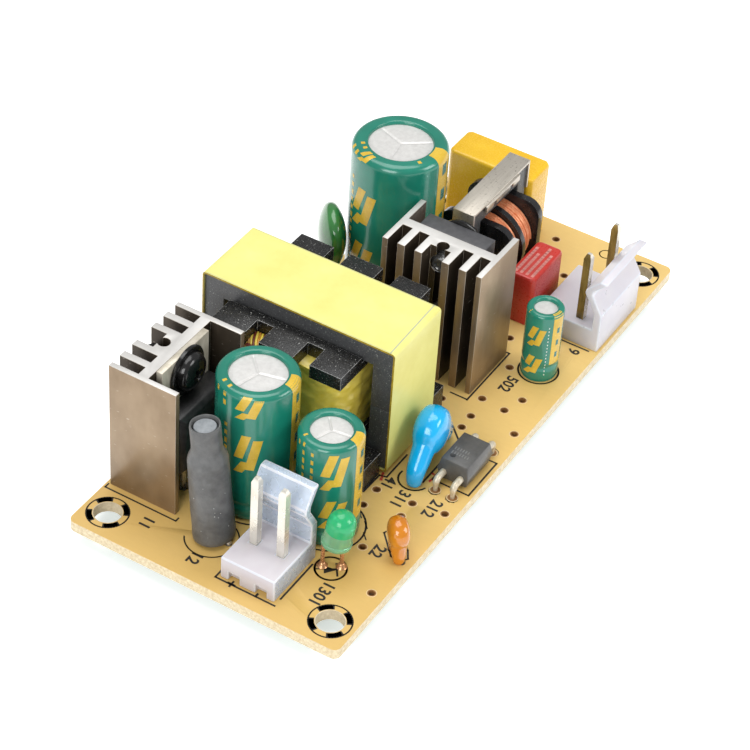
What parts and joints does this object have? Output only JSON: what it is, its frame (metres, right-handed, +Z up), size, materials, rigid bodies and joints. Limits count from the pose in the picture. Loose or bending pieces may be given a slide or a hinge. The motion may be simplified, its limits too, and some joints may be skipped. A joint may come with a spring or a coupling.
{
  "type": "switching power supply module",
  "caption": "Open-frame power supply on a tan board: finned heatsinks, taped transformer, round capacitors, line filter parts and pin headers.",
  "frame": {"origin": "centre of the four mounting holes on the underside of the board", "axes": "+X along the board from the output header to the input header, +Y across the board towards the heatsink edge, +Z up, away from the solder side"},
  "size_m": [0.09, 0.0407, 0.0285],
  "materials": {
    "board": "tan laminate with black print",
    "solder": "wetted solder",
    "tinned": "tinned wire",
    "brass_pin": "aged tinned brass",
    "steel": "rolled steel",
    "extrusion": "bright cut ends, natural sides",
    "tab": "tinned copper tab",
    "epoxy": "moulded epoxy",
    "grey_epoxy": "moulded epoxy",
    "black_screw": "black oxide steel",
    "ferrite": "sintered ferrite",
    "bobbin": "phenolic moulding",
    "copper": "enamelled copper wire",
    "yellow_tape": "polyester tape",
    "sleeve": "printed shrink sleeve",
    "can": "pressed can top",
    "nylon": "translucent nylon",
    "red_box": "moulded case",
    "yellow_box": "moulded case",
    "green_coat": "dipped coating",
    "blue_coat": "dipped coating",
    "orange_coat": "dipped coating",
    "green_lens": "tinted clear resin",
    "copper_lead": "plated lead frame",
    "shrink_sleeve": "shrunk sleeve",
    "chip_black": "chip resistor",
    "chip_tan": "chip capacitor"
  },
  "bodies": {
    "root": {"circuit_board": "board", "solder_joints": "solder", "straight_leads": "tinned", "output_heatsink": "extrusion", "primary_heatsink": "extrusion", "heatsink_pegs": "steel", "rectifier_tab": "tab", "rectifier_body": "epoxy", "rectifier_leads": "tinned", "rectifier_screw": "black_screw", "mosfet_body": "grey_epoxy", "mosfet_leads": "tinned", "mosfet_screw": "black_screw", "transformer_core_lower": "ferrite", "transformer_core_upper": "ferrite", "transformer_bobbin": "bobbin", "transformer_winding": "yellow_tape", "core_tape": "yellow_tape", "transformer_pins": "tinned", "bulk_capacitor_sleeve": "sleeve", "bulk_capacitor_top": "can", "filter_capacitor_sleeve": "sleeve", "filter_capacitor_top": "can", "output_capacitor_sleeve": "sleeve", "output_capacitor_top": "can", "supply_capacitor_sleeve": "sleeve", "supply_capacitor_top": "can", "output_header_housing": "nylon", "output_header_pins": "tinned", "input_header_housing": "nylon", "input_header_pins": "brass_pin", "fuse_body": "red_box", "film_capacitor_body": "yellow_box", "line_choke_core": "ferrite", "line_choke_bobbin": "bobbin", "line_choke_windings": "copper", "line_choke_clip": "steel", "line_choke_pins": "tinned", "thermistor_body": "green_coat", "safety_capacitor_body": "blue_coat", "dipped_leads": "tinned", "optocoupler_body": "epoxy", "optocoupler_leads": "tinned", "dipped_capacitor_body": "orange_coat", "indicator_lens": "green_lens", "indicator_leads": "copper_lead", "rod_choke_sleeve": "shrink_sleeve", "rod_choke_rod": "ferrite", "rod_choke_winding": "copper", "rod_choke_leads": "tinned", "bridge_body": "epoxy", "controller_body": "epoxy", "reference_body": "epoxy", "snubber_diode_body": "epoxy", "surface_leads": "tinned", "chip_resistors": "chip_black", "chip_capacitors": "chip_tan"}
  },
  "joints": []
}
